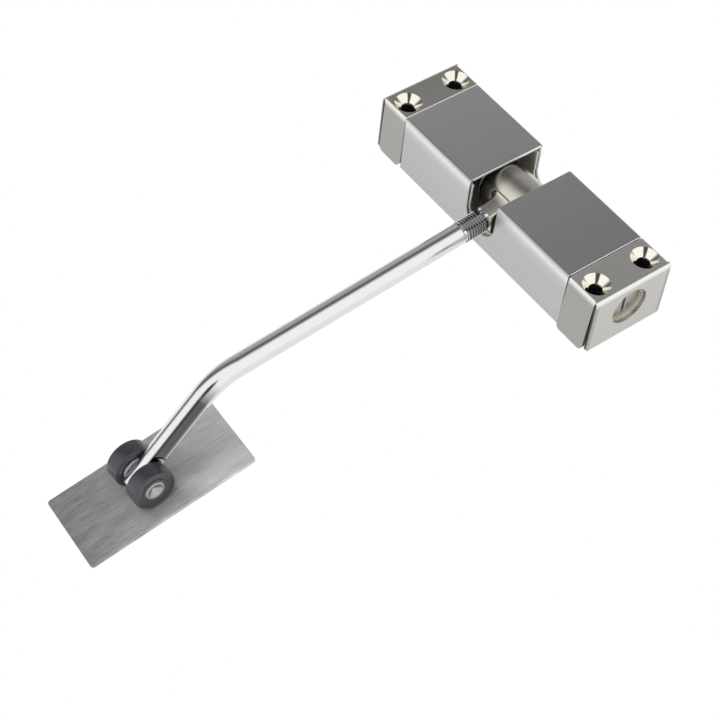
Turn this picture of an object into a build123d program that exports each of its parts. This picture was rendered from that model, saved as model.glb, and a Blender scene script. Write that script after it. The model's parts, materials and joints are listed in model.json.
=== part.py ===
"""Self-closing hinge: a sprung door closer body with a roller arm and the plate that its rollers run on.

Frame: origin at the centre of the mounting face, +Z out of the door, +X along the body towards the
adjuster end. The arm reaches towards -Y. All sizes are in millimetres, all angles in degrees.
"""
import os
from math import atan2, cos, degrees, radians, sin

from build123d import *

# Body
body_length = 105.0
body_width = 30.0
body_height = 22.0
left_cap_length = 11.5
right_cap_length = 13.1
seam_gap = 0.4
cover_sheet = 1.1
cover_bend = 1.0
cover_inner_bend = 0.3
cap_sheet = 1.1
cap_bend = 0.9
cap_inner_bend = 0.3
base_sheet = 1.0
base_floor = 1.2
base_wall_gap = 1.5
cap_wall_drop = 5.5
fit_gap = 0.1

# The slot in the middle of the body, where the arm swings
slot_left = 7.8
slot_right = 5.5
slot_below_hub = 6.5
slot_corner = 6.0
stop_corner = 3.0
stop_gap = 0.05

# End caps: skirts that lean out a little, the end flap behind its slits, and the formed screw seats
left_skirt_lean = 0.4
right_skirt_lean = 1.1
skirt_corner = 2.0
slit_width = 0.15
flap_bend = 1.2
flap_corner = 1.0
screw_inset = 6.5
screw_edge_y = 5.25
screw_hole_radius = 2.25
screw_clearance = 0.1
screw_hole_length = 6.0
seat_radius = 4.5
seat_depth = 2.9
seat_wall = 1.2
seat_pocket_wall = 0.6

# End blocks
block_length = 17.3
bush_length = 13.0
bush_edge = 0.48
bush_inner_gap = 0.07

# Hub, on an axis along X
drum_gap = 0.15
drum_floor_gap = 2.05
drum_length = 18.6
drum_edge = 0.5
bush_wall = 1.45
shaft_short = 1.0
press_gap = 0.03
lug_width = 6.5
lug_edge = 1.2
lug_end = 14.95
lug_end_top = 2.63
lug_root_top = 5.6
lug_root = 2.0
lug_under = 4.2

# Arm
arm_drop = 5.7
arm_offset = 1.05
rod_radius = 3.5
thread_radius = 3.9
thread_depth = 0.6
thread_pitch = 1.0
thread_turns = 9
thread_start_gap = 0.1
stud_radius = 2.5
stud_length = 7.0
stud_gap = 0.05
bend_distance = 115.3
bend_angle = 35.2
bend_radius = 22.0
bend_turn = 5.7
pin_distance = 37.3
tongue_thickness = 2.8
tongue_tip = 4.15
tongue_shoulder = 7.6
tongue_taper = 5.5
shoulder_taper = 1.2

# Rollers on their pin
roller_radius = 7.0
roller_width = 6.0
roller_edge = 0.4
roller_recess = 0.35
roller_rim = 1.0
roller_bore_gap = 0.08
pin_radius = 3.0
pin_head_radius = 3.35
pin_head_length = 0.5
pin_dimple_radius = 2.5
pin_dimple_depth = 1.5
washer_radius = 4.6
washer_thickness = 0.6
washer_gap = 0.05

# Plate under the rollers
plate_length = 58.3
plate_width = 28.8
plate_thickness = 1.2
plate_corner = 1.2
plate_pitch = 14.1
plate_yaw = 3.8
plate_shift_along = 1.9
plate_shift_across = -1.0
roll_gap = 0.05
pad_thickness = 0.8
pad_inset = 1.2

# Torsion springs
wire_radius = 0.9
coil_edge = 0.6
coil_pitch = 2.05
coil_end_room = 1.9
leg_gap = 0.12
leg_depth = 3.0

# Adjuster: plug, spindle, ratchet wheel, pawl and lock spring
plug_edge = 0.85
plug_gap = 0.08
plug_bore_depth = 8.4
plug_length = 12.3
plug_socket = 5.2
plug_web = 1.0
plug_shaft_depth = 4.0
adjuster_hole_radius = 6.7
adjuster_recess = 2.3
lip_radius = 5.85
lip_length = 1.2
press_travel = 2.2
head_radius = 5.7
head_thickness = 3.0
slot_cut_width = 1.2
slot_cut_depth = 1.3
shank_side = 5.0
shank_end_gap = 0.4
wheel_radius = 6.2
wheel_tooth = 0.6
wheel_teeth = 12
tooth_rise = 2.0
wheel_thickness = 2.0
wheel_gap = 0.1
pawl_sheet = 0.4
pawl_width = 1.8
pawl_reach = 1.4
pawl_knee = 2.5
pawl_pocket = 2.6
pawl_pocket_half = 6.4
pawl_pocket_floor = 2.0
lock_wire = 0.35
lock_coil_radius = 4.2
lock_turns = 4
lock_seat_radius = 4.8
lock_seat_depth = 3.0

# Places worked out from the sizes above
half_length = body_length / 2
half_width = body_width / 2
base_half_width = half_width - max(cap_sheet, cover_sheet) - fit_gap / 2
base_wall_top = body_height - cover_sheet - base_wall_gap
base_wall_top_in_caps = body_height - cap_wall_drop
base_end = half_length - cap_sheet - fit_gap
block_outer = base_end
block_inner = block_outer - block_length
block_half_width = base_half_width - base_sheet - fit_gap
block_bottom = base_floor + fit_gap
block_top = body_height - cap_sheet - fit_gap
screw_x = half_length - screw_inset
screw_y = half_width - screw_edge_y
drum_radius = (body_height - cover_sheet - drum_gap - base_floor - drum_floor_gap) / 2
hub_height = base_floor + drum_floor_gap + drum_radius
slot_floor = hub_height - slot_below_hub
plug_radius = drum_radius - plug_edge
coil_radius = plug_radius - wire_radius - coil_edge
bush_radius = coil_radius - wire_radius - bush_edge
shaft_radius = bush_radius - bush_wall - bush_inner_gap
plug_right = block_inner + plug_bore_depth
plug_left = plug_right - plug_length
head_face = half_length - adjuster_recess
wheel_right = head_face - head_thickness - wheel_gap
wheel_left = wheel_right - wheel_thickness
wheel_middle = (wheel_left + wheel_right) / 2
socket_left = plug_left + plug_shaft_depth + plug_web
leg_height = hub_height + coil_radius

X = Vector(1, 0, 0)
hub_centre = Vector(0, 0, hub_height)
arm_direction = Vector(0, -cos(radians(arm_drop)), -sin(radians(arm_drop)))
arm_down = Vector(0, sin(radians(arm_drop)), -cos(radians(arm_drop)))
arm_origin = hub_centre - arm_down * arm_offset
bend_side = arm_down * cos(radians(bend_turn)) + X * sin(radians(bend_turn))
pin_axis = X * cos(radians(bend_turn)) - arm_down * sin(radians(bend_turn))
end_direction = arm_direction * cos(radians(bend_angle)) + bend_side * sin(radians(bend_angle))
bend_point = arm_origin + arm_direction * bend_distance
pin_centre = bend_point + end_direction * pin_distance
thread_start = lug_end + thread_start_gap
thread_end = thread_start + thread_turns * thread_pitch

arm_plane = Plane(origin=arm_origin, x_dir=X, z_dir=arm_direction)
pin_plane = Plane(origin=pin_centre, x_dir=end_direction, z_dir=pin_axis)

level_across = Vector(0, 0, 1).cross(pin_axis).normalized()
level_normal = pin_axis.cross(level_across)
plate_normal = level_normal * cos(radians(plate_pitch)) - level_across * sin(radians(plate_pitch))
roll_direction = plate_normal.cross(pin_axis)
plate_along = roll_direction * cos(radians(plate_yaw)) + pin_axis * sin(radians(plate_yaw))
plate_across = pin_axis * cos(radians(plate_yaw)) - roll_direction * sin(radians(plate_yaw))
plate_centre = (pin_centre - plate_normal * (roller_radius + roll_gap)
                + plate_along * plate_shift_along + plate_across * plate_shift_across)
plate_plane = Plane(origin=plate_centre, x_dir=plate_along, z_dir=plate_normal)


def block(x0, x1, y0, y1, z0, z1):
    """A box between two corners."""
    return Pos((x0 + x1) / 2, (y0 + y1) / 2, (z0 + z1) / 2) * Box(x1 - x0, y1 - y0, z1 - z0)


def rod_x(radius, x0, x1, y=0.0, z=hub_height):
    """A cylinder along X."""
    return Pos((x0 + x1) / 2, y, z) * Rot(0, 90, 0) * Cylinder(radius, x1 - x0)


def rod_z(radius, z0, z1, x, y):
    """A cylinder along Z."""
    return Pos(x, y, (z0 + z1) / 2) * Cylinder(radius, z1 - z0)


def rod_on(plane, radius, start, end):
    """A cylinder along a plane's normal."""
    return plane * Pos(0, 0, (start + end) / 2) * Cylinder(radius, end - start)


def arm_slot(floor, corner):
    """The opening that the arm swings in, right through the body along Y and open at the top."""
    top = body_height + corner
    cut = block(-slot_left, slot_right, -body_width, body_width, floor, top)
    return fillet(cut.edges().filter_by(Axis.Y).group_by(Axis.Z)[0], corner)


def cover_channel():
    """The brushed cover: one sheet bent to a channel, cut away in the middle for the arm."""
    left = left_cap_length + seam_gap - half_length
    right = half_length - right_cap_length - seam_gap
    shell = block(left, right, -half_width, half_width, 0, body_height)
    shell = fillet(shell.edges().filter_by(Axis.X).group_by(Axis.Z)[-1], cover_bend)
    inner_half = half_width - cover_sheet
    room = block(-body_length, body_length, -inner_half, inner_half, -1, body_height - cover_sheet)
    room = fillet(room.edges().filter_by(Axis.X).group_by(Axis.Z)[-1], cover_inner_bend)
    return shell - room - arm_slot(slot_floor, slot_corner)


def stop_height():
    """Height of the base's slot edge, just under the arm's lug at rest."""
    wall_middle = base_half_width - base_sheet / 2
    along = wall_middle / cos(radians(arm_drop))
    under = arm_origin + arm_direction * along + arm_down * lug_under
    return under.Z - stop_gap - base_sheet * sin(radians(arm_drop))


def base_channel():
    """The inner channel that closes the back and carries the end blocks."""
    half = base_half_width
    shell = block(-base_end, base_end, -half, half, 0, base_wall_top)
    inner_half = half - base_sheet
    shell -= block(-body_length, body_length, -inner_half, inner_half, base_floor, body_height)
    for side, cap_length in ((-1, left_cap_length), (1, right_cap_length)):
        inner, outer = half_length - cap_length - seam_gap / 2, half_length
        low, high = min(side * inner, side * outer), max(side * inner, side * outer)
        shell -= block(low, high, -body_width, body_width, base_wall_top_in_caps, body_height)
        for across in (-1, 1):
            radius = screw_hole_radius + screw_clearance
            shell -= rod_z(radius, -1, base_floor + 1, side * screw_x, across * screw_y)
    return shell - arm_slot(stop_height(), stop_corner)


def seat_cone(low, high, extra):
    """The cone of one screw seat between two depths under the top face, wider by extra."""
    slope = (seat_radius - screw_hole_radius) / seat_depth
    radius_low = screw_hole_radius + (seat_depth - low) * slope + extra
    radius_high = screw_hole_radius + (seat_depth - high) * slope + extra
    middle = body_height - (low + high) / 2
    return Pos(0, 0, middle) * Cone(radius_low, radius_high, low - high)


def cap_section(inset, low, high, lean):
    """The cap's cross-section between two heights, a sheet inside its outside, leaning out below."""
    half_low, half_high = (half_width - inset + lean * (body_height - z) / body_height
                           for z in (low, high))
    return Plane.YZ * make_face(Polyline((-half_low, low), (half_low, low), (half_high, high),
                                         (-half_high, high), close=True))


def cap_channel(length, lean):
    """The cap's top and its two skirts, up to the slits beside the end flap."""
    skirt_end = half_length - cap_sheet - slit_width
    start = half_length - length
    shell = Pos(start, 0, 0) * extrude(cap_section(0, 0, body_height, lean), skirt_end - start)
    shell = fillet(shell.edges().filter_by(Axis.X).group_by(Axis.Z)[-1], cap_bend)
    room = extrude(cap_section(cap_sheet, -1, body_height - cap_sheet, lean), half_length)
    shell -= fillet(room.edges().filter_by(Axis.X).group_by(Axis.Z)[-1], cap_inner_bend)
    return fillet(shell.edges().filter_by(Axis.Y).group_by(Axis.Z)[0], skirt_corner)


def end_flap():
    """The cap's end, bent down from the top between the slits."""
    start = half_length - cap_sheet - slit_width
    flap = block(start, half_length, -half_width, half_width, 0, body_height)
    flap = fillet(flap.edges().filter_by(Axis.Y).group_by(Axis.Z)[-1].sort_by(Axis.X)[-1], flap_bend)
    flap -= block(0, half_length - cap_sheet, -body_width, body_width, -1, body_height - cap_sheet)
    return fillet(flap.edges().filter_by(Axis.X).group_by(Axis.Z)[0], flap_corner)


def right_end_cap(length, lean, with_hole=True):
    """A folded cap: top, two skirts, an end flap and two formed screw seats."""
    cap = cap_channel(length, lean) + end_flap()
    for side in (-1, 1):
        place = Pos(screw_x, side * screw_y, 0)
        cap += place * seat_cone(seat_depth, cap_sheet - fit_gap, seat_wall)
    for side in (-1, 1):
        place = Pos(screw_x, side * screw_y, 0)
        cap -= place * seat_cone(seat_depth, -3 * fit_gap, 0)
        cap -= rod_z(screw_hole_radius, body_height - screw_hole_length, body_height, screw_x,
                     side * screw_y)
    if with_hole:
        cap -= rod_x(adjuster_hole_radius, half_length - 2 * cap_sheet, half_length + 1)
    return cap


def block_blank():
    """The right-hand end block before its bores: screw holes and room for the formed seats."""
    blank = block(block_inner, block_outer, -block_half_width, block_half_width,
                  block_bottom, block_top)
    for side in (-1, 1):
        pocket_radius = seat_radius + seat_wall - seat_pocket_wall
        pocket_floor = body_height - seat_depth - 2 * fit_gap
        radius = screw_hole_radius + screw_clearance
        blank -= rod_z(pocket_radius, pocket_floor, body_height, screw_x, side * screw_y)
        blank -= rod_z(radius, 0, body_height, screw_x, side * screw_y)
    return blank


def right_end_block():
    """The block behind the adjuster: plug bore, adjuster bore and the pawl's pocket."""
    body = block_blank()
    body -= rod_x(plug_radius + plug_gap, block_inner - 1, plug_right + fit_gap)
    lip = wheel_right + wheel_gap
    body -= rod_x(adjuster_hole_radius, plug_right, lip)
    body -= rod_x(lip_radius, lip - 1, lip + lip_length + 1)
    body -= rod_x(adjuster_hole_radius, lip + lip_length, half_length)
    return body - block(wheel_middle - pawl_pocket / 2, wheel_middle + pawl_pocket / 2,
                        -pawl_pocket_half, pawl_pocket_half, pawl_pocket_floor, hub_height)


def left_end_block():
    """The block at the fixed end: a bore for the shaft's bush and a hole for the spring's leg."""
    body = mirror(block_blank(), about=Plane.YZ)
    body -= rod_x(bush_radius, -block_inner - bush_length, -block_inner + 1)
    return body - rod_x(wire_radius + leg_gap, -block_inner - leg_depth - 0.3, -block_inner + 1,
                        0, leg_height)


def left_shaft_bush():
    """The plain bush that the shaft turns in."""
    outer = rod_x(bush_radius - press_gap, -block_inner - bush_length, -block_inner)
    return outer - rod_x(shaft_radius + bush_inner_gap, -half_length, 0)


def torsion_spring(inner, outer):
    """A torsion spring round the shaft, between two places in X, with an axial leg at each end."""
    start = inner + coil_end_room
    length = outer - coil_end_room - start
    turns = int(length // coil_pitch)
    path = Helix(pitch=length / turns, height=length, radius=coil_radius)
    section = Plane(origin=path @ 0, z_dir=path % 0) * Circle(wire_radius)
    coil = sweep(section, path=path, is_frenet=True)
    coil = Pos(start, 0, hub_height) * Rot(0, 90, 0) * Rot(0, 0, 180) * coil
    first = rod_x(wire_radius, inner - leg_depth, start, 0, leg_height)
    last = rod_x(wire_radius, start + length, outer + leg_depth, 0, leg_height)
    ends = [Pos(x, 0, leg_height) * Sphere(wire_radius) for x in (start, start + length)]
    return coil + first + last + ends[0] + ends[1]


def hub_drum():
    """The drum that turns in the body, with the lug that takes the arm."""
    half = drum_length / 2
    drum = rod_x(drum_radius, -half, half)
    drum = chamfer(drum.edges().filter_by(GeomType.CIRCLE), drum_edge)
    outline = Polyline((lug_root, lug_root_top), (lug_end, lug_end_top),
                       (lug_end, -lug_under), (lug_root, -lug_under), close=True)
    side = Plane(origin=arm_origin - X * (lug_width / 2), x_dir=arm_direction, z_dir=X)
    lug = extrude(side * make_face(outline), lug_width)
    along = lug.edges().filter_by(lambda edge: abs(edge.center().X) > lug_width / 2 - 0.01
                                  and edge.length > lug_end / 2)
    drum += fillet(along, lug_edge)
    drum -= rod_x(shaft_radius + press_gap, -body_length, body_length)
    drum -= rod_on(arm_plane, stud_radius + stud_gap, lug_end - stud_length - 0.5, lug_end + 1)
    leg_floor = half - leg_depth - 0.3
    for low, high in ((-half, -leg_floor), (leg_floor, half)):
        drum -= rod_x(wire_radius + leg_gap, low, high, 0, leg_height)
    return drum


def hub_shaft():
    """The shaft pressed through the drum, from the left bush into the plug."""
    left = shaft_short - block_inner - bush_length
    shaft = rod_x(shaft_radius, left, plug_left + plug_shaft_depth - fit_gap)
    return chamfer(shaft.edges().filter_by(GeomType.CIRCLE), drum_edge)


def arm_rod():
    """The bent rod: a plain stud in the lug, a threaded stretch, the bend and a flattened tongue."""
    tangent = bend_radius * sin(radians(bend_angle / 2)) / cos(radians(bend_angle / 2))
    bend_start = arm_origin + arm_direction * (bend_distance - tangent)
    bend_end = bend_point + end_direction * tangent
    path = (Line(arm_origin + arm_direction * thread_end, bend_start)
            + TangentArc(bend_start, bend_end, tangent=arm_direction)
            + Line(bend_end, pin_centre + end_direction * tongue_tip))
    section = Plane(origin=path @ 0, z_dir=arm_direction) * Circle(rod_radius)
    rod = sweep(section, path=path)
    rod += rod_on(arm_plane, stud_radius, thread_start - stud_length, thread_start + 1)
    rod += threaded_stretch()
    reach = 4 * rod_radius
    half = tongue_thickness / 2
    shoulder = pin_distance - tongue_shoulder
    profile = Plane(origin=bend_point, x_dir=pin_axis, z_dir=pin_axis.cross(end_direction))
    for sign, taper in ((1, shoulder_taper), (-1, tongue_taper)):
        outline = Polyline((sign * half, 2 * pin_distance), (sign * half, shoulder),
                           (sign * rod_radius, shoulder - taper),
                           (sign * reach, shoulder - taper), (sign * reach, 2 * pin_distance),
                           close=True)
        rod -= extrude(profile * make_face(outline), reach, both=True)
    return rod - rod_on(pin_plane, pin_radius + press_gap, -reach, reach)


def threaded_stretch():
    """The thread as a row of ridges round the rod."""
    low = thread_radius - thread_depth
    points = [(0, thread_start), (low, thread_start)]
    for turn in range(thread_turns):
        base = thread_start + turn * thread_pitch
        points += [(thread_radius, base + thread_pitch * 0.45),
                   (thread_radius, base + thread_pitch * 0.6), (low, base + thread_pitch)]
    points += [(0, thread_end)]
    outline = make_face(Polyline(*points, close=True))
    ridges = revolve(Plane.XZ * outline, axis=Axis.Z)
    return arm_plane * ridges


def roller_pin():
    """The pin through the tongue, spread at both ends to hold the rollers and dimpled."""
    half = tongue_thickness / 2 + washer_thickness + 2 * washer_gap + roller_width
    pin = Cylinder(pin_radius, 2 * half)
    for side in (-1, 1):
        pin += Pos(0, 0, side * (half - pin_head_length / 2)) * Cylinder(pin_head_radius,
                                                                         pin_head_length)
    dimple = Cone(0.2, pin_dimple_radius, pin_dimple_depth)
    pin -= Pos(0, 0, half - pin_dimple_depth / 2) * dimple
    pin -= Pos(0, 0, -half + pin_dimple_depth / 2) * Rot(180, 0, 0) * dimple
    return pin_plane * pin


def roller(side):
    """One roller, with a shallow recess in its outer face and a seat for the pin's spread end."""
    start = tongue_thickness / 2 + washer_thickness + 2 * washer_gap
    wheel = Cylinder(roller_radius, roller_width)
    wheel = fillet(wheel.edges().filter_by(GeomType.CIRCLE), roller_edge)
    wheel -= Cylinder(pin_radius + roller_bore_gap, 2 * roller_width)
    seat_length = pin_head_length + roller_bore_gap
    outer = roller_width / 2
    wheel -= Pos(0, 0, outer - seat_length / 2) * Cylinder(pin_head_radius + roller_bore_gap,
                                                           seat_length)
    ring = Cylinder(roller_radius - roller_rim, roller_recess)
    ring -= Cylinder(pin_head_radius + roller_rim, roller_recess)
    wheel -= Pos(0, 0, outer - roller_recess / 2) * ring
    if side < 0:
        wheel = Rot(180, 0, 0) * wheel
    return pin_plane * Pos(0, 0, side * (start + outer)) * wheel


def washer(side):
    """The thin washer between a roller and the tongue."""
    place = side * (tongue_thickness / 2 + washer_gap + washer_thickness / 2)
    ring = Cylinder(washer_radius, washer_thickness)
    ring -= Cylinder(pin_radius + press_gap, 2 * washer_thickness)
    return pin_plane * Pos(0, 0, place) * ring


def strike_plate():
    """The flat plate that the rollers run on."""
    sheet = Pos(0, 0, -plate_thickness / 2) * Box(plate_length, plate_width, plate_thickness)
    return plate_plane * fillet(sheet.edges().filter_by(Axis.Z), plate_corner)


def adhesive_pad():
    """The adhesive pad on the plate's back."""
    sheet = Box(plate_length - 2 * pad_inset, plate_width - 2 * pad_inset, pad_thickness)
    sheet = fillet(sheet.edges().filter_by(Axis.Z), plate_corner)
    return plate_plane * Pos(0, 0, -plate_thickness - pad_thickness / 2) * sheet


def spring_plug():
    """The plug that holds the right-hand spring's end, turned by the spindle's square shank."""
    plug = rod_x(plug_radius, plug_left, plug_right)
    plug -= rod_x(shaft_radius + bush_inner_gap, plug_left - 1, plug_left + plug_shaft_depth)
    half = plug_socket / 2
    plug -= block(socket_left, plug_right + 1, -half, half, hub_height - half, hub_height + half)
    plug -= rod_x(lock_seat_radius, plug_right - lock_seat_depth, plug_right + 1)
    return plug - rod_x(wire_radius + leg_gap, plug_left - 1, plug_left + leg_depth + 0.3, 0,
                        leg_height)


def adjuster_spindle():
    """The slotted head in the end cap's hole, on a square shank."""
    head = rod_x(head_radius, head_face - head_thickness, head_face)
    head = chamfer(head.edges().filter_by(GeomType.CIRCLE).sort_by(Axis.X)[-1], 0.3)
    head -= block(head_face - slot_cut_depth, head_face + 1, -slot_cut_width / 2,
                  slot_cut_width / 2, 0, body_height)
    half = shank_side / 2
    shank_left = socket_left + press_travel + shank_end_gap
    return head + block(shank_left, head_face - head_thickness / 2, -half, half,
                        hub_height - half, hub_height + half)


def ratchet_wheel():
    """The saw-toothed wheel on the shank that the pawl catches."""
    points = []
    for tooth in range(wheel_teeth):
        step = radians(pawl_angle() + tooth * 360 / wheel_teeth)
        rise = radians(tooth_rise)
        low = wheel_radius - wheel_tooth
        points.append((low * cos(step), low * sin(step)))
        points.append((wheel_radius * cos(step + rise), wheel_radius * sin(step + rise)))
    wheel = extrude(Plane.YZ * make_face(Polyline(*points, close=True)), wheel_thickness)
    wheel = Pos(wheel_left, 0, hub_height) * wheel
    half = shank_side / 2 + press_gap
    return wheel - block(0, half_length, -half, half, hub_height - half, hub_height + half)


def pawl_tip():
    """Where the pawl's tip lies against the wheel, in Y and Z from the wheel's centre."""
    reach = wheel_radius - wheel_tooth / 2
    return pawl_reach, -(reach ** 2 - pawl_reach ** 2) ** 0.5


def pawl_angle():
    """Angle of the tooth step that the pawl's tip faces."""
    across, up = pawl_tip()
    return degrees(atan2(up, across)) + 1.5


def pawl_leaf():
    """The bent leaf spring in the block's pocket that stops the wheel turning back."""
    across, up = pawl_tip()
    floor = pawl_pocket_floor + fit_gap - hub_height
    line = [(-pawl_pocket_half + 0.3, floor), (-pawl_knee, floor), (across, up - pawl_sheet)]
    points = line + [(y, z + pawl_sheet) for y, z in reversed(line)]
    leaf = extrude(Plane.YZ * make_face(Polyline(*points, close=True)), pawl_width)
    return Pos(wheel_middle - pawl_width / 2, 0, hub_height) * leaf


def lock_spring():
    """The light spring round the shank that presses the spindle out."""
    start = plug_right - lock_seat_depth + lock_wire + 0.02
    length = wheel_left - lock_wire - 0.02 - start
    path = Helix(pitch=length / lock_turns, height=length, radius=lock_coil_radius)
    section = Plane(origin=path @ 0, z_dir=path % 0) * Circle(lock_wire)
    coil = sweep(section, path=path, is_frenet=True)
    return Pos(start, 0, hub_height) * Rot(0, 90, 0) * coil


def all_parts():
    """Every node's name and solid."""
    drum_face = drum_length / 2
    spring_right = torsion_spring(drum_face, plug_left)
    spring_left = mirror(torsion_spring(drum_face, block_inner), about=Plane.YZ)
    left_cap = right_end_cap(left_cap_length, left_skirt_lean, with_hole=False)
    return {
        "cover_channel": cover_channel(),
        "base_channel": base_channel(),
        "left_end_cap": mirror(left_cap, about=Plane.YZ),
        "right_end_cap": right_end_cap(right_cap_length, right_skirt_lean),
        "left_end_block": left_end_block(),
        "right_end_block": right_end_block(),
        "left_shaft_bush": left_shaft_bush(),
        "left_torsion_spring": spring_left,
        "right_torsion_spring": spring_right,
        "hub_drum": hub_drum(),
        "hub_shaft": hub_shaft(),
        "arm_rod": arm_rod(),
        "roller_pin": roller_pin(),
        "front_roller": roller(1),
        "rear_roller": roller(-1),
        "front_washer": washer(1),
        "rear_washer": washer(-1),
        "strike_plate": strike_plate(),
        "adhesive_pad": adhesive_pad(),
        "spring_plug": spring_plug(),
        "adjuster_spindle": adjuster_spindle(),
        "ratchet_wheel": ratchet_wheel(),
        "pawl_leaf": pawl_leaf(),
        "lock_spring": lock_spring(),
    }


os.makedirs("parts", exist_ok=True)
for name, solid in all_parts().items():
    export_step(solid, f"parts/{name}.step")
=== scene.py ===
"""Self-closing hinge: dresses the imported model's pieces and sets up their stage."""
import json
from math import ceil, cos, hypot, pi, radians, sin, sqrt, tan

import bmesh
import bpy
from bpy.props import FloatProperty, FloatVectorProperty, IntProperty, PointerProperty
from mathutils import Matrix, Vector


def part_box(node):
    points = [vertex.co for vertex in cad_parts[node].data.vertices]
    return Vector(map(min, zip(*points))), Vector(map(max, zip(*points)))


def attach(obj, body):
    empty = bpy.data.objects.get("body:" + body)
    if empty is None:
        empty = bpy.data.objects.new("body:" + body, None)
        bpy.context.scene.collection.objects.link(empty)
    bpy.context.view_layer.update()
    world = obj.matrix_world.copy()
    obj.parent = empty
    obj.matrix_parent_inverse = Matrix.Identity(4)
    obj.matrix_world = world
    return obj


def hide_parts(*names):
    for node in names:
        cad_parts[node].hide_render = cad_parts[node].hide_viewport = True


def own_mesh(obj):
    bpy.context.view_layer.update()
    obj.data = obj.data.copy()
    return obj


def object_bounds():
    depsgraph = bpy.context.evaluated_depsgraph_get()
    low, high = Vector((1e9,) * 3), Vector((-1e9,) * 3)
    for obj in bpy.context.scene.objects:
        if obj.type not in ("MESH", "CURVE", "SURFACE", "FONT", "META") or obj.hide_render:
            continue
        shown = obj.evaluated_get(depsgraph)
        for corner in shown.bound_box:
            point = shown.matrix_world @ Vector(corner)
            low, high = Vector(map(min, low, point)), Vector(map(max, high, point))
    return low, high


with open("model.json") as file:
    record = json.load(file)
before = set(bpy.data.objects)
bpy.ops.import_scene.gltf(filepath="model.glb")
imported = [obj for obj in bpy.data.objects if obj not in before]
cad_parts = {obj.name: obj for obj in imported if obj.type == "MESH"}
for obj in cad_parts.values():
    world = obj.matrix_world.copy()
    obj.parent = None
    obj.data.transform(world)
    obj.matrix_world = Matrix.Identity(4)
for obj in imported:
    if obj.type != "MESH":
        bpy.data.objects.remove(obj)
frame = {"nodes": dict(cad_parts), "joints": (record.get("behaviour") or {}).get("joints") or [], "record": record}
cad_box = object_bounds()

bl_info = {
    "name": "Self-closing hinge",
    "version": (1, 0, 0),
    "blender": (4, 5, 0),
    "location": "View3D > Sidebar > Hinge",
    "description": "Dresses a sprung hinge with a roller arm and sets up its stage",
    "category": "Add Mesh",
}

MM = 0.001
BLACK = (0, 0, 0, 1)
FLAT_MARGIN = 0.02 * MM  # how far under a piece's top its flat face still counts


# Places read from the frame

def joint(name):
    """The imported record's joint of that name."""
    return next(entry for entry in frame["joints"] if entry["name"] == name)


def mount(name):
    """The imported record's mount of that name."""
    return next(entry for entry in frame["record"]["mounts"] if entry["name"] == name)


def joint_line(name):
    """A point on a joint's axis, and the axis."""
    entry = joint(name)
    return Vector(entry["pos_m"]), Vector(entry["axis"]).normalized()


hub_centre = joint_line("arm_swing")[0]
arm_origin, arm_direction = joint_line("arm_align")
pin_centre, pin_axis = joint_line("front_roller_spin")
plate_along = Vector(joint("plate_travel")["axis"]).normalized()
plate_normal = -Vector(mount("plate_back")["axis"])
plate_across = plate_along.cross(plate_normal)
if plate_across.dot(pin_axis) < 0:
    plate_across.negate()
screw_holes = mount("screw_holes")["dims"]
screw_x = screw_holes["spacing_x_mm"] / 2 * MM
screw_y = screw_holes["spacing_y_mm"] / 2 * MM
cover_half_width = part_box("cover_channel")[1].y
push_travel = joint("adjuster_push")["range_m"][1]


# Settings shown in the sidebar

def length_setting(name, description, size):
    """A length for the sidebar, given in millimetres."""
    return FloatProperty(name=name, description=description, default=size * MM, unit="LENGTH")


def colour_setting(name, description, colour):
    """A colour for the sidebar."""
    return FloatVectorProperty(name=name, description=description, size=3, subtype="COLOR",
                               default=colour)


class HingeStageSettings(bpy.types.PropertyGroup):
    """The stage's lens and light."""
    lens: FloatProperty(name="Lens", description="Focal length of the camera", default=97.97,
                        unit="CAMERA")
    key_power: FloatProperty(name="Key light", description="Power of the large soft lamp",
                             default=2.2, unit="POWER")
    fill_power: FloatProperty(name="Fill light", description="Power of the second lamp",
                              default=1.0, unit="POWER")
    floor_gloss: FloatProperty(name="Floor in gloss", description="How white the floor is in "
                               "reflections, however it is lit", default=0.62, min=0.0, max=1.0)
    paper: colour_setting("Paper", "Colour of the floor", (0.86, 0.86, 0.86))


class HingeHousingSettings(bpy.types.PropertyGroup):
    """The folded sheets of the body."""
    sheet_edge: length_setting("Sheet edge", "Rounding of the cut sheet's edges", 0.34)
    seat_radius: length_setting("Screw seats", "Radius of the polished screw seats", 4.5)
    # This radius also sets the painted shade inside the blocks' screw holes.
    hole_radius: length_setting("Screw holes", "Radius of the dark screw holes in the blocks", 2.5)
    seat_lift: length_setting("Seat lift", "How much shallower than in the CAD the screw seats "
                              "look", 0.6)
    left_seam: length_setting("Left seam", "How far the left cap reaches over its seam", 0.33)
    cover_colour: colour_setting("Cover", "Colour of the brushed cover", (0.95, 0.95, 0.965))
    cap_colour: colour_setting("End caps", "Colour of the satin end caps", (0.94, 0.925, 0.875))
    base_colour: colour_setting("Base", "Colour of the inner channel", (0.88, 0.85, 0.74))
    zinc_colour: colour_setting("Blocks", "Colour of the die-cast blocks", (0.86, 0.82, 0.70))


class HingeHubSettings(bpy.types.PropertyGroup):
    """The drum and the lug that takes the arm."""
    drum_edge: length_setting("Drum edge", "Rounding of the drum's rims", 0.5)
    lug_width: length_setting("Lug width", "Width of the lug along the hub", 6.5)
    lug_edge: length_setting("Lug edge", "Rounding along the lug's edges", 1.2)
    lug_length: length_setting("Lug reach", "Reach of the lug from the hub's axis", 14.2)
    lug_end_top: length_setting("Lug end height", "Height of the lug's top over the arm's axis at "
                                "its outer end", 2.75)
    lug_root_top: length_setting("Lug root height", "Height of the lug's top over the arm's axis "
                                 "at the hub", 5.6)
    lug_under: length_setting("Lug depth", "Depth of the lug under the arm's axis", 4.2)
    fillet: length_setting("Root fillet", "Fillet between the lug and the drum", 1.7)
    colour: colour_setting("Nickel", "Colour of the satin nickel", (0.70, 0.665, 0.60))


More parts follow.
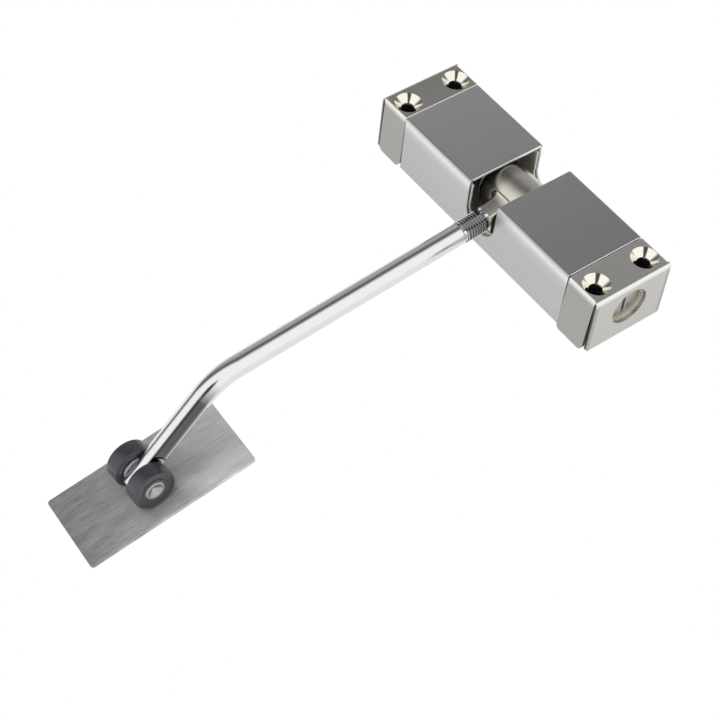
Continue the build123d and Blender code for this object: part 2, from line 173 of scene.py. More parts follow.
class HingeArmSettings(bpy.types.PropertyGroup):
    """The bent rod with its threaded stretch and flattened tongue."""
    rod_radius: length_setting("Rod radius", "Radius of the rod", 3.5)
    bend_angle: FloatProperty(name="Bend", description="Angle of the rod's bend",
                              default=radians(35.2), unit="ROTATION")
    bend_radius: length_setting("Bend radius", "Radius of the rod's centre line in the bend", 22.0)
    tongue: length_setting("Tongue", "Thickness of the flattened end", 4.0)
    shoulder: length_setting("Shoulder", "Distance of the tongue's shoulder from the roller pin",
                             7.6)
    tip: length_setting("Tip", "Reach of the tongue past the roller pin", 4.15)
    thread_start: length_setting("Thread start", "Distance of the thread's start from the hub's "
                                 "axis", 15.05)
    thread_turns: IntProperty(name="Thread turns", description="Number of turns of the thread",
                              default=9)
    thread_pitch: length_setting("Thread pitch", "Rise of one turn of the thread", 1.0)
    thread_core: length_setting("Thread core", "Radius of the thread's core", 3.3)
    thread_height: length_setting("Thread height", "Height of the thread's ridge", 0.58)
    colour: colour_setting("Chrome", "Colour of the arm's plating", (0.84, 0.84, 0.86))


class HingeRollerSettings(bpy.types.PropertyGroup):
    """The two rollers on their pin."""
    edge: length_setting("Roller edge", "Rounding of the rollers' rims", 0.55)
    spread: length_setting("Spread", "How much further out than in the CAD each roller's inner "
                           "face and washer lie", 0.6)
    recess: length_setting("Recess", "Depth of the recess in a roller's face", 0.35)
    rim: length_setting("Rim", "Width of the rim around the recess", 1.0)
    pin_radius: length_setting("Pin radius", "Radius of the roller pin", 3.0)
    head_radius: length_setting("Pin head", "Radius of the pin's spread end", 3.35)
    dimple_radius: length_setting("Dimple", "Radius of the dimple in the pin", 2.5)
    dimple_depth: length_setting("Dimple depth", "Depth of the dimple", 1.4)
    colour: colour_setting("Roller", "Colour of the rollers' plastic", (0.04, 0.042, 0.052))


class HingePlateSettings(bpy.types.PropertyGroup):
    """The plate under the rollers and its adhesive pad."""
    corner: length_setting("Corner", "Radius of the plate's corners", 1.2)
    edge: length_setting("Plate edge", "Rounding of the plate's edges", 0.15)
    colour: colour_setting("Plate", "Colour of the brushed plate", (0.80, 0.80, 0.80))
    pad_colour: colour_setting("Pad", "Colour of the adhesive pad", (0.82, 0.82, 0.80))


class HingeSpringSettings(bpy.types.PropertyGroup):
    """The torsion springs and the adjuster's lock spring."""
    wire: length_setting("Wire", "Radius of the torsion springs' wire", 0.9)
    end_room: length_setting("End room", "How far a leg reaches beyond the coil", 4.9)
    lock_wire: length_setting("Lock spring wire", "Radius of the lock spring's wire", 0.35)
    left_turns: IntProperty(name="Left turns", description="Turns of the left-hand spring",
                            default=10)
    right_turns: IntProperty(name="Right turns", description="Turns of the right-hand spring",
                             default=8)
    lock_turns: IntProperty(name="Lock spring turns", description="Turns of the lock spring",
                            default=4)
    colour: colour_setting("Spring steel", "Colour of the oiled springs", (0.30, 0.30, 0.31))


# Shader maths

class Wire:
    """A shader value in an expression: each operator adds its Math node."""

    def __init__(self, tree, socket):
        self.tree = tree
        self.socket = socket

    def math(self, operation, first, second):
        node = self.tree.nodes.new("ShaderNodeMath")
        node.operation = operation
        for socket, value in zip(node.inputs, (first, second)):
            if isinstance(value, Wire):
                self.tree.links.new(value.socket, socket)
            else:
                socket.default_value = value
        return Wire(self.tree, node.outputs[0])

    def __add__(self, other):
        return self.math("ADD", self, other)

    def __radd__(self, other):
        return self.math("ADD", other, self)

    def __sub__(self, other):
        return self.math("SUBTRACT", self, other)

    def __rsub__(self, other):
        return self.math("SUBTRACT", other, self)

    def __mul__(self, other):
        return self.math("MULTIPLY", self, other)

    def __rmul__(self, other):
        return self.math("MULTIPLY", other, self)

    def __gt__(self, other):
        return self.math("GREATER_THAN", self, other)

    def __lt__(self, other):
        return self.math("LESS_THAN", self, other)

    def __abs__(self):
        return self.math("ABSOLUTE", self, 0.0)

    def larger(self, other):
        return self.math("MAXIMUM", self, other)

    def limited(self):
        """The value held between 0 and 1."""
        return self.math("MINIMUM", self.larger(0.0), 1.0)


def ramp(tree, value, stops):
    """A level that follows a value through its stops."""
    node = tree.nodes.new("ShaderNodeValToRGB")
    elements = node.color_ramp.elements
    while len(elements) < len(stops):
        elements.new(0.5)
    for element, (position, level) in zip(elements, stops):
        element.position = position
        element.color = (level, level, level, 1)
    tree.links.new(value.socket, node.inputs["Fac"])
    return Wire(tree, node.outputs["Color"])


def split_parts(tree, socket):
    """The three values of a vector."""
    split = tree.nodes.new("ShaderNodeSeparateXYZ")
    tree.links.new(socket, split.inputs[0])
    return [Wire(tree, output) for output in split.outputs]


class Finish:
    """A material being built on one Principled BSDF."""

    def __init__(self, name, **fixed):
        self.material = bpy.data.materials.new(name)
        self.material.use_nodes = True
        self.tree = self.material.node_tree
        self.shader = self.tree.nodes["Principled BSDF"]
        for socket, value in fixed.items():
            self.shader.inputs[socket.replace("_", " ")].default_value = value

    def node(self, kind, settings=None, sockets=None, output=0):
        """Adds a node: its settings first, then the values or links of its sockets."""
        node = self.tree.nodes.new(kind)
        for key, value in (settings or {}).items():
            setattr(node, key, value)
        for key, value in (sockets or {}).items():
            if isinstance(value, Wire):
                self.tree.links.new(value.socket, node.inputs[key])
            else:
                node.inputs[key].default_value = value
        return Wire(self.tree, node.outputs[output])

    def feed(self, socket, wire):
        """Links a wire into the shader."""
        self.tree.links.new(wire.socket, self.shader.inputs[socket])

    def object_place(self, scale, rotation=(0, 0, 0)):
        """Object coordinates, turned and scaled."""
        place = self.node("ShaderNodeTexCoord", output="Object")
        return self.node("ShaderNodeMapping", {}, {"Vector": place, "Scale": scale,
                                                   "Rotation": rotation})

    def place_parts(self):
        """Object coordinates as three values."""
        return split_parts(self.tree, self.node("ShaderNodeTexCoord", output="Object").socket)

    def surface_parts(self):
        """The piece's own map as three values, the first along its grain."""
        place = self.node("ShaderNodeUVMap", {"uv_map": "grain"})
        return split_parts(self.tree, place.socket)

    def near_screws(self, radius):
        """1 within a radius of the four screws' axes, else 0."""
        x, y, _ = self.place_parts()
        off_x, off_y = abs(x) - screw_x, abs(y) - screw_y
        return off_x * off_x + off_y * off_y < radius * radius

    def surface_place(self, scale):
        """The piece's own map, in metres along and across its grain, scaled."""
        place = self.node("ShaderNodeUVMap", {"uv_map": "grain"})
        return self.node("ShaderNodeMapping", {}, {"Vector": place, "Scale": scale})

    def noise(self, place, scale=1.0, detail=3.0, roughness=0.55):
        """A noise value from 0 to 1."""
        return self.node("ShaderNodeTexNoise", {"noise_dimensions": "3D"},
                         {"Vector": place, "Scale": scale, "Detail": detail,
                          "Roughness": roughness})

    def blend(self, factor, first, second):
        """A mix of two colours."""
        return self.node("ShaderNodeMix", {"data_type": "RGBA"},
                         {0: factor, 6: first, 7: second}, output=2)

    def bump(self, height, strength, distance):
        """Feeds a height into the shader's normal."""
        self.feed("Normal", self.node("ShaderNodeBump", {}, {
            "Height": height, "Strength": strength, "Distance": distance}))


def shade(colour, factor):
    """A colour made darker or lighter, with its alpha."""
    return (*(min(1.0, channel * factor) for channel in colour), 1.0)


def brushed_metal(name, colour, finish_place, roughness, spread=0.1, contrast=0.12, depth=0.5,
                  level=None, metallic=1.0):
    """Metal with fine streaks along its grain, faint stains and a brushed bump."""
    finish = Finish(name, Metallic=metallic)
    streaks = finish.noise(finish_place(finish), detail=5.0, roughness=0.65)
    stains = finish.noise(finish.object_place((1, 1, 1)), scale=90.0, detail=2.0)
    tone = streaks * 0.75 + stains * 0.25
    metal = finish.blend(tone, shade(colour, 1 - contrast), shade(colour, 1 + contrast))
    # A level scales the colour: painted light and shade, and on the plate also rubbed patches.
    if level:
        metal = finish.blend(level(finish), BLACK, metal)
    finish.feed("Base Color", metal)
    finish.feed("Roughness", streaks * spread + (roughness - spread / 2))
    finish.bump(streaks, depth, 0.012 * MM)
    return finish.material


def cover_painted_light(finish):
    """Painted light on the cover: highlights along its bends, shade lower down and a dull, graded top."""
    x, y, z = finish.place_parts()
    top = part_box("cover_channel")[1].z
    # Painted highlight near the top of the front and back walls, painted shade lower down.
    painted_wall_light = ramp(finish.tree, z * (1 / top), ((0.0, 0.61), (0.70, 0.65), (0.80, 0.71), (0.87, 0.86),
                                             (0.91, 1.0), (0.95, 1.0), (0.975, 0.75),
                                             (0.99, 0.55)))
    bend = abs(y) > cover_half_width - 1.1 * MM
    painted_wall_light = painted_wall_light * bend + (1 - bend)
    # A painted gradient across the top face, from left to right.
    flat = z > top - FLAT_MARGIN
    return painted_wall_light * (1 - flat) + flat * (0.655 - x * 1.9)


def cover_steel(colour):
    """The cover's steel, brushed along the body, with its painted light."""
    return brushed_metal("cover_brushed_steel", colour,
                         lambda finish: finish.object_place((45, 3200, 3200)), 0.36,
                         spread=0.14, contrast=0.16, depth=0.6, level=cover_painted_light)


def cap_steel(colour, seat_radius, sheet=1.1 * MM):
    """The end caps' satin steel, with polished screw seats and painted shade in the slits by the flaps."""
    finish = Finish("cap_satin_steel", Metallic=1.0)
    grain = finish.noise(finish.object_place((900, 900, 120)), detail=5.0, roughness=0.6)
    stains = finish.noise(finish.object_place((1, 1, 1)), scale=110.0, detail=3.0)
    tone = grain * 0.5 + stains * 0.5
    satin = finish.blend(tone, shade(colour, 0.93), shade(colour, 1.07))
    seat = finish.near_screws(seat_radius)
    x, y, z = finish.place_parts()
    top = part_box("right_end_cap")[1]
    seat = seat * (z < top.z - FLAT_MARGIN)
    side = cover_half_width - 0.06 * MM
    # Painted shade on the flaps' side edges, standing for the shaded corner slits.
    slit_shade = (abs(x) > top.x - sheet - 0.02 * MM) * (abs(x) < top.x - 0.35 * MM)
    slit_shade = slit_shade * (abs(y) > side) * (z < top.z - 0.4 * MM)
    # Painted highlights along the caps' bends; lower down, the skirts and flaps are darker.
    height = z * (1 / top.z)
    skirt = ramp(finish.tree, height, ((0.0, 0.46), (0.89, 0.47), (0.94, 0.78), (0.965, 1.0)))
    flap = ramp(finish.tree, height, ((0.0, 0.63), (0.91, 0.66), (0.95, 1.0)))
    on_skirt = abs(y) > side - 1.0 * MM
    flat = z > top.z - FLAT_MARGIN
    level = (skirt * on_skirt + flap * (1 - on_skirt)) * (1 - flat)
    # A painted gradient across the caps' tops.
    level = level + flat * (0.70 + x * 3.0)
    satin = finish.blend(level, BLACK, satin)
    plain = finish.blend(seat, satin, (0.93, 0.90, 0.80, 1.0))
    finish.feed("Base Color", finish.blend(slit_shade, plain, (0.10, 0.10, 0.095, 1.0)))
    dull = grain * 0.06 + stains * 0.05 + 0.24
    finish.feed("Roughness", dull * (1 - seat) + seat * 0.07 + slit_shade * 0.2)
    finish.bump(grain * (1 - seat), 0.12, 0.012 * MM)
    return finish.material


def nickel_painted_shadow(finish):
    """Painted shadow on the nickel towards the drum's ends, where the body shades it."""
    x = finish.place_parts()[0]
    return ramp(finish.tree, x * (1 / (20 * MM)) + 0.5, (
        (0.08, 0.25), (0.28, 0.62), (0.38, 1.0), (0.80, 1.0), (0.95, 0.5)))


def satin_nickel(colour):
    """Nickel turned on a lathe, with faint rings about the hub, a few dull spots and painted end shadow."""
    return brushed_metal("satin_nickel", colour,
                         lambda finish: finish.object_place((2400, 130, 130)), 0.26,
                         spread=0.12, contrast=0.10, depth=0.3, level=nickel_painted_shadow)


def chrome_painted_reflection(finish):
    """A painted dark reflection on the outer side of the rod's lower end, between bend and tip."""
    along, around, _ = finish.surface_parts()
    past_bend = ((along - 101 * MM) * 140).limited()
    # The dark band is a painted reflection across the rod's outer side.
    dark = ramp(finish.tree, around * (1 / (22 * MM)), (
        (0.0, 0.0), (0.01, 0.75), (0.05, 0.86), (0.16, 0.88), (0.18, 0.0)))
    return 1 - dark * past_bend


def drawn_chrome(colour):
    """The arm's plating, polished over faint drawing lines, with a painted dark reflection."""
    return brushed_metal("drawn_chrome", colour,
                         lambda finish: finish.surface_place((28, 2600, 1)), 0.13,
                         spread=0.1, contrast=0.05, depth=0.25, level=chrome_painted_reflection)


def thread_steel(colour, core, height):
    """Painted highlights on the thread's ridges and painted shade in its grooves round the arm's axis."""
    finish = Finish("thread_steel", Metallic=1.0, Roughness=0.16)
    parts = [value - origin for value, origin in zip(finish.place_parts(), arm_origin)]
    along = parts[0] * arm_direction.x + parts[1] * arm_direction.y + parts[2] * arm_direction.z
    square = parts[0] * parts[0] + parts[1] * parts[1] + parts[2] * parts[2] - along * along
    outward = (square - core * core) * (1 / (height * (2 * core + height)))
    # Painted light: bright at the ridges' tops, dark down in the grooves.
    level = ramp(finish.tree, outward, ((0.1, 0.12), (0.4, 0.45), (0.75, 1.0)))
    finish.feed("Base Color", finish.blend(level, BLACK, shade(colour, 1.0)))
    return finish.material


def plate_shade_and_wear(finish):
    """The plate's brightness: painted shade towards its far end, with rubbed patches."""
    along = finish.surface_parts()[0]
    patches = finish.noise(finish.surface_place((90, 260, 1)), detail=4.0, roughness=0.7)
    lines = finish.noise(finish.surface_place((110, 5200, 1)), detail=3.0, roughness=0.7)
    # The fall-off along the plate is painted shade; the patches and lines are its own wear.
    return (along * 9.0 + patches * 0.5 + lines * 0.9 - 0.02).limited()


def plate_steel(colour):
    """The strike plate's steel, brushed along its long side, with painted shade and rubbed patches."""
    return brushed_metal("plate_brushed_steel", colour,
                         lambda finish: finish.surface_place((55, 2600, 1)), 0.42,
                         spread=0.16, contrast=0.35, depth=1.0, level=plate_shade_and_wear,
                         metallic=0.5)


def roller_plastic(colour):
    """Glossy dark plastic, lightly scuffed."""
    finish = Finish("roller_plastic", Coat_Roughness=0.12)
    place = finish.object_place((1, 1, 1))
    mottle = finish.noise(place, scale=900.0, detail=4.0)
    scuffs = finish.noise(place, scale=260.0, detail=3.0)
    finish.feed("Base Color", finish.blend(scuffs, shade(colour, 0.75), shade(colour, 1.3)))
    finish.feed("Roughness", scuffs * 0.22 + 0.2)
    finish.feed("Coat Weight", mottle * 0.3 + 0.15)
    finish.bump(mottle, 0.15, 0.02 * MM)
    return finish.material


def pad_foam(colour):
    """Fine closed-cell foam with an adhesive face."""
    finish = Finish("pad_foam", Roughness=0.75)
    cells = finish.noise(finish.object_place((1, 1, 1)), scale=2400.0, detail=2.0)
    finish.feed("Base Color", finish.blend(cells, shade(colour, 0.88), shade(colour, 1.05)))
    finish.bump(cells, 0.5, 0.05 * MM)
    return finish.material


def cast_zinc(colour, hole_radius):
    """Die-cast zinc with a grainy skin, and painted shade inside its deep screw holes."""
    finish = Finish("cast_zinc", Metallic=0.3)
    grain = finish.noise(finish.object_place((1, 1, 1)), scale=1500.0, detail=5.0)
    clouds = finish.noise(finish.object_place((1, 1, 1)), scale=140.0, detail=2.0)
    skin = finish.blend(clouds, shade(colour, 0.9), shade(colour, 1.12))
    # Painted shade: near black inside the screw holes.
    hole_shade = finish.near_screws(hole_radius)
    finish.feed("Base Color", finish.blend(hole_shade, skin, (0.012, 0.012, 0.012, 1.0)))
    finish.feed("Roughness", grain * 0.15 + hole_shade * 0.5 + 0.2)
    finish.bump(grain, 0.25, 0.03 * MM)
    return finish.material


def spring_steel(colour):
    """Oiled spring steel with drawing lines and darker stains."""
    finish = Finish("spring_steel", Metallic=1.0)
    stains = finish.noise(finish.object_place((1, 1, 1)), scale=420.0, detail=4.0)
    finish.feed("Base Color", finish.blend(stains, shade(colour, 0.6), shade(colour, 1.3)))
    finish.feed("Roughness", stains * 0.25 + 0.22)
    finish.bump(stains, 0.2, 0.02 * MM)
    return finish.material


def bush_bronze():
    """Plain bearing bronze."""
    finish = Finish("bush_bronze", Metallic=1.0)
    grain = finish.noise(finish.object_place((2000, 200, 200)), detail=3.0)
    colour = (0.55, 0.38, 0.18)
    finish.feed("Base Color", finish.blend(grain, shade(colour, 0.85), shade(colour, 1.15)))
    finish.feed("Roughness", grain * 0.2 + 0.25)
    finish.bump(grain, 0.3, 0.02 * MM)
    return finish.material


# Mesh making

def plain_mesh(name, build):
    """A mesh made from a bmesh, which is freed."""
    mesh = bpy.data.meshes.new(name)
    build.to_mesh(mesh)
    build.free()
    return mesh


def linked(name, data):
    """A new object in the scene."""
    made = bpy.data.objects.new(name, data)
    bpy.context.scene.collection.objects.link(made)
    return made


def make_piece(name, mesh, material, body, replaced=(), sharp=35.0):
    """Turns a bmesh or mesh into a finished piece on a CAD body; with no angle its shading stays."""
    if isinstance(mesh, bmesh.types.BMesh):
        mesh = plain_mesh(name, mesh)
    mesh.name = name
    mesh.materials.clear()
    mesh.materials.append(material)
    if sharp:
        mesh.shade_smooth()
        mesh.set_sharp_from_angle(angle=radians(sharp))
    piece = linked(name, mesh)
    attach(piece, body)
    if replaced:
        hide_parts(*replaced)
    return piece


def applied(piece):
    """The piece's mesh with its modifiers applied, as a new mesh; the piece is removed."""
    graph = bpy.context.evaluated_depsgraph_get()
    mesh = bpy.data.meshes.new_from_object(piece.evaluated_get(graph), depsgraph=graph)
    bpy.data.objects.remove(piece)
    return mesh


def rounded(corners, radius, steps=4, closed=False):
    """A 2-D outline with each corner cut to an arc, where its sides are long enough."""
    result = []
    count = len(corners)
    for index, corner in enumerate(corners):
        if not closed and index in (0, count - 1):
            result.append(corner)
            continue
        here = Vector(corner)
        before = Vector(corners[index - 1]) - here
        after = Vector(corners[(index + 1) % count]) - here
        turn = before.angle(after)
        reach = radius / tan(turn / 2) if turn > 0.01 else 0.0
        reach = min(reach, before.length * 0.45, after.length * 0.45)
        first = here + before.normalized() * reach
        last = here + after.normalized() * reach
        for step in range(steps + 1):
            share = step / steps
            point = first.lerp(here, share).lerp(here.lerp(last, share), share)
            result.append((point.x, point.y))
    return result


def stitch(rings, closed_path=False, capped=True, grain=None):
    """A surface through rings of points; a ring of one point is a pole."""
    build = bmesh.new()
    grain_layer = build.loops.layers.uv.new("grain")
    made = [[build.verts.new(point) for point in ring] for ring in rings]
    pairs = list(zip(range(len(rings)), range(1, len(rings))))
    if closed_path:
        pairs.append((len(rings) - 1, 0))
    for low, high in pairs:
        first, second = made[low], made[high]
        count = max(len(first), len(second))
        for index in range(count):
            after = (index + 1) % count
            if len(first) == 1:
                corners = [(first[0], low, index), (second[after], high, index + 1),
                           (second[index], high, index)]
            elif len(second) == 1:
                corners = [(first[index], low, index), (first[after], low, index + 1),
                           (second[0], high, index)]
            else:
                corners = [(first[index], low, index), (first[after], low, index + 1),
                           (second[after], high, index + 1), (second[index], high, index)]
            face = build.faces.new([corner[0] for corner in corners])
            if grain:
                for loop, corner in zip(face.loops, corners):
                    loop[grain_layer].uv = grain(corner[1], corner[2])
    if capped and not closed_path:
        for ring in (made[0], made[-1]):
            if len(ring) > 2:
                build.faces.new(ring)
    bmesh.ops.recalc_face_normals(build, faces=build.faces[:])
    return build


def lathe(profile, origin, axis, closed=False, segments=96):
    """A turned solid: the profile is (radius, height) pairs about an axis."""
    side = axis.orthogonal().normalized()
    other = axis.cross(side)
    rings = []
    for radius, height in profile:
        centre = origin + axis * height
        if radius < 1e-7:
            rings.append([centre])
        else:
            rings.append([centre + (side * cos(2 * pi * step / segments)
                                    + other * sin(2 * pi * step / segments)) * radius
                          for step in range(segments)])
    lengths = [0.0]
    for first, second in zip(profile, profile[1:]):
        lengths.append(lengths[-1] + (Vector(second) - Vector(first)).length)
    around = 2 * pi * max(radius for radius, _ in profile)
    return stitch(rings, closed_path=closed, grain=lambda ring, step: (
        around * step / segments, lengths[ring]))


def slab(centre, along, across, normal, length, width, thickness, corner, edge):
    """A flat plate with rounded corners and edges, whose top lies on the centre."""
    outline = rounded([(length / 2, width / 2), (-length / 2, width / 2),
                       (-length / 2, -width / 2), (length / 2, -width / 2)], corner, 6, True)
    top = [(edge * (1 - sin(pi / 2 * share)), -edge * (1 - cos(pi / 2 * share)))
           for share in (0, 1 / 3, 2 / 3, 1)]
    bottom = [(inset, -thickness - drop) for inset, drop in reversed(top)]
    rings = []
    for inset, drop in top + bottom:
        ring = []
        for x, y in outline:
            ring.append(centre + along * x * (1 - 2 * inset / length)
                        + across * y * (1 - 2 * inset / width) + normal * drop)
        rings.append(ring)
    build = stitch(rings)
    layer = build.loops.layers.uv["grain"]
    for face in build.faces:
        for loop in face.loops:
            offset = loop.vert.co - centre
            loop[layer].uv = (offset.dot(along), offset.dot(across))
    return build


def sheet_copy(node, edge, reshape=None, seam=None, clamp=False):
    """A merged copy of a CAD node's mesh with its cut edges rounded, or only those at its seam."""
    build = bmesh.new()
    build.from_mesh(frame["nodes"][node].data)
    bmesh.ops.remove_doubles(build, verts=build.verts[:], dist=0.002 * MM)
    bmesh.ops.dissolve_limit(build, angle_limit=radians(0.5), verts=build.verts[:],
                             edges=build.edges[:])
    weights = build.edges.layers.float.new("bevel_weight_edge")
    for rim in build.edges:
        if rim.calc_face_angle(0) < radians(35):
            continue
        middle = (rim.verts[0].co + rim.verts[1].co) / 2
        if seam is None or abs(abs(middle.x) - seam) < 0.2 * MM:
            rim[weights] = 1.0
        else:
            rim.smooth = False
    if reshape:
        for vertex in build.verts:
            reshape(vertex.co)
    mesh = plain_mesh(node + "_merged", build)
    copy = linked(node + "_merged", mesh)
    mesh.shade_smooth()
    bevel = copy.modifiers.new("Edges", "BEVEL")
    bevel.width = edge
    bevel.segments = 2
    bevel.limit_method = "WEIGHT"
    bevel.use_clamp_overlap = clamp
    normals = copy.modifiers.new("Flat faces", "WEIGHTED_NORMAL")
    normals.keep_sharp = True
    return applied(copy)


def make_dressed(name, node, material, edge, body, reshape=None, seam=None, clamp=False):
    """A dressed piece that stands for one CAD node."""
    mesh = sheet_copy(node, edge, reshape, seam, clamp)
    return make_piece(name, mesh, material, body, [node], sharp=None)


def paint(node, material):
    """Gives a CAD node its material."""
    piece = frame["nodes"][node]
    piece.data.materials.clear()
    piece.data.materials.append(material)


# Operators, one for each group of pieces

class HINGE_OT_housing(bpy.types.Operator):
    """Make the brushed cover, the base channel and the end caps"""
    bl_idname = "hinge.housing"
    bl_label = "Make housing"

    def execute(self, context):
        sizes = context.scene.hinge_housing
        cover = cover_steel(sizes.cover_colour)
        caps = cap_steel(sizes.cap_colour, sizes.seat_radius)
        base = brushed_metal("base_steel", sizes.base_colour,
                             lambda finish: finish.object_place((60, 900, 900)), 0.17,
                             spread=0.06, contrast=0.05, depth=0.2, metallic=0.3)
        make_dressed("cover", "cover_channel", cover, sizes.sheet_edge, "housing")
        make_dressed("base", "base_channel", base, sizes.sheet_edge, "housing")
        left_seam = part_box("left_end_cap")[1].x
        right_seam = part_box("right_end_cap")[0].x
        above_hole = 17 * MM
        on_seam = 0.01 * MM

        def reshape(point):
            """Shallower screw seats, and a left cap that closes its seam."""
            from_screw = hypot(abs(point.x) - screw_x, abs(point.y) - screw_y)
            if from_screw < sizes.hole_radius and point.z > above_hole:
                point.z += sizes.seat_lift
            if abs(point.x - left_seam) < on_seam:
                point.x += sizes.left_seam

        for side, seam in (("left", -left_seam), ("right", right_seam)):
            make_dressed(side + "_cap", side + "_end_cap", caps, sizes.sheet_edge, "housing",
                         reshape, seam)
        return {"FINISHED"}


class HINGE_OT_hub(bpy.types.Operator):
    """Turn the drum and draw out its lug, with a fillet where they meet"""
    bl_idname = "hinge.hub"
    bl_label = "Make hub"

    def execute(self, context):
        sizes = context.scene.hinge_hub
        nickel = satin_nickel(sizes.colour)
        low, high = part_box("hub_drum")
        shaft_low, shaft_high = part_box("hub_shaft")
        radius = high.z - hub_centre.z
        bore = (shaft_high.z - shaft_low.z) / 2 + 0.03 * MM
        half = high.x
        corners = [(bore, -half), (radius, -half), (radius, half), (bore, half)]
        profile = rounded(corners, sizes.drum_edge, 4, True)
        centre = Vector((0, 0, hub_centre.z))
        make_piece("drum", lathe(profile, centre, Vector((1, 0, 0)), True, 128), nickel, "hub",
                   ["hub_drum"])
        make_piece("lug", self.lug(sizes, radius), nickel, "hub")
        return {"FINISHED"}

    def lug(self, sizes, radius):
        """The tapered lug, flared where it meets the drum."""
        up = pin_side_up()
        across = up.cross(arm_direction).normalized()
        rings = []
        root = 2.0 * MM
        stations = [root + (sizes.lug_length - 2.25 * MM) * step / 60 for step in range(61)]
        ends = [(sizes.lug_length - 0.12 * MM, 0.06 * MM), (sizes.lug_length, 0.28 * MM)]
        for station, inset in [(place, 0.0) for place in stations] + ends:
            share = (station - root) / (sizes.lug_length - root)
            top = sizes.lug_root_top + (sizes.lug_end_top - sizes.lug_root_top) * share - inset
            under = -sizes.lug_under + inset
            half = sizes.lug_width / 2 - inset
            outline = rounded([(half, top), (-half, top), (-half, under), (half, under)],
                              sizes.lug_edge, 5, True)
            ring = []
            count = len(outline)
            for index, (x, z) in enumerate(outline):
                before, after = Vector(outline[index - 1]), Vector(outline[(index + 1) % count])
                tangent = (after - before).normalized()
                outward = Vector((-tangent.y, tangent.x))
                point = arm_origin + arm_direction * station + across * x + up * z
                offset = point - hub_centre
                gap = Vector((0, offset.y, offset.z)).length - radius
                flare = 0.0
                if gap < sizes.fillet:
                    inner = max(gap, 0.0)
                    flare = sizes.fillet - sqrt(
                        max(0.0, sizes.fillet ** 2 - (sizes.fillet - inner) ** 2))
                if outward.dot(Vector((x, z - (top + under) / 2))) < 0:
                    outward.negate()
                push = across * outward.x + up * outward.y
                radial = Vector((0, offset.y, offset.z)).normalized()
                ring.append(point + push * flare * (1 - abs(push.dot(radial))))
            rings.append(ring)
        return stitch(rings)


def pin_side_up():
    """The direction across the arm that points out of the door."""
    sideways = Vector((1, 0, 0))
    up = sideways.cross(arm_direction).normalized()
    return up if up.z > 0 else -up


def arm_path(sizes):
    """Points and directions along the arm's centre line, from the thread's start to the tip."""
    offset = pin_centre - arm_origin
    along = offset.dot(arm_direction)
    sideways = offset - arm_direction * along
    end_length = sideways.length / sin(sizes.bend_angle)
    bend_distance = along - end_length * cos(sizes.bend_angle)
    toward = sideways.normalized()
    end_direction = arm_direction * cos(sizes.bend_angle) + toward * sin(sizes.bend_angle)
    tangent = sizes.bend_radius * tan(sizes.bend_angle / 2)
    centre = (arm_origin + arm_direction * (bend_distance - tangent)
              + toward * sizes.bend_radius)
    stations = []
    step = 2.0 * MM
    run = bend_distance - tangent - sizes.thread_start
    for index in range(ceil(run / step)):
        distance = sizes.thread_start + run * index / ceil(run / step)
        stations.append((arm_origin + arm_direction * distance, arm_direction))
    turns = 40
    for index in range(turns + 1):
        angle = sizes.bend_angle * index / turns
        direction = arm_direction * cos(angle) + toward * sin(angle)
        inward = toward * cos(angle) - arm_direction * sin(angle)
        stations.append((centre - inward * sizes.bend_radius, direction))
    last = stations[-1][0]
    run = (pin_centre - last).length + sizes.tip
    count = ceil(run / (0.25 * MM))
    for index in range(1, count + 1):
        stations.append((last + end_direction * run * index / count, end_direction))
    return stations, end_direction


class HINGE_OT_arm(bpy.types.Operator):
    """Sweep the bent rod and flatten its end to a tongue"""
    bl_idname = "hinge.arm"
    bl_label = "Make arm"

    def execute(self, context):
        sizes = context.scene.hinge_arm
        chrome = drawn_chrome(sizes.colour)
        stations, end_direction = arm_path(sizes)
        segments = 96
        thread_length = sizes.thread_turns * sizes.thread_pitch
        rings, lengths = [], []
        travelled = 0.0
        previous = stations[0][0]
        for point, direction in stations:
            travelled += (point - previous).length
            previous = point
            for radius, shift in self.radii(sizes, travelled, thread_length):
                centre = point + direction * shift
                to_pin = (pin_centre - centre).dot(end_direction)
                rings.append(self.ring(sizes, centre, direction, radius, to_pin, segments))
                lengths.append(travelled + shift)
        edge = 0.35 * MM
        last_ring = rings[-1]
        for inset in (0.3, 1.0):
            centre = previous + end_direction * edge * inset
            rings.append([centre + (vertex - previous) * (1 - edge * inset / (4 * MM))
                          for vertex in last_ring])
            lengths.append(travelled + edge * inset)
        around = 2 * pi * sizes.rod_radius
        build = stitch(rings, grain=lambda ring, step: (lengths[ring], around * step / segments))
        make_piece("arm", build, chrome, "arm", ["arm_rod"], sharp=28)
        neck = [(0, -7 * MM), (2.6 * MM, -7 * MM), (2.6 * MM, -1.6 * MM), (3.1 * MM, -1.4 * MM),
                (3.1 * MM, -0.1 * MM), (3.0 * MM, 0.2 * MM), (0, 0.2 * MM)]
        start = arm_origin + arm_direction * sizes.thread_start
        make_piece("arm_stud", lathe(neck, start, arm_direction), chrome, "arm")
        return {"FINISHED"}

    def radii(self, sizes, travelled, thread_length):
        """The radius of the rod, smaller along its thread, with a short cone between."""
        if travelled < thread_length:
            return [(sizes.thread_core, 0.0)]
        if travelled < thread_length + 2.0 * MM:
            return [(sizes.thread_core, thread_length - travelled),
                    (sizes.rod_radius, thread_length - travelled + 0.35 * MM)]
        return [(sizes.rod_radius, 0.0)]

    def ring(self, sizes, centre, direction, radius, to_pin, segments):
        """One section of the rod, with flats on both sides near the pin."""
        other = direction.cross(pin_axis)
        half = sizes.tongue / 2
        limits = []
        for taper in (1.2 * MM, 5.5 * MM):
            rise = max(0.0, to_pin - sizes.shoulder) / taper
            limits.append(half + (sizes.rod_radius - half) * min(1.0, rise) ** 0.8)
        ring = []
        for step in range(segments):
            angle = 2 * pi * step / segments
            x, y = radius * cos(angle), radius * sin(angle)
            x = max(-limits[1], min(limits[0], x))
            ring.append(centre + pin_axis * x + other * y)
        return ring


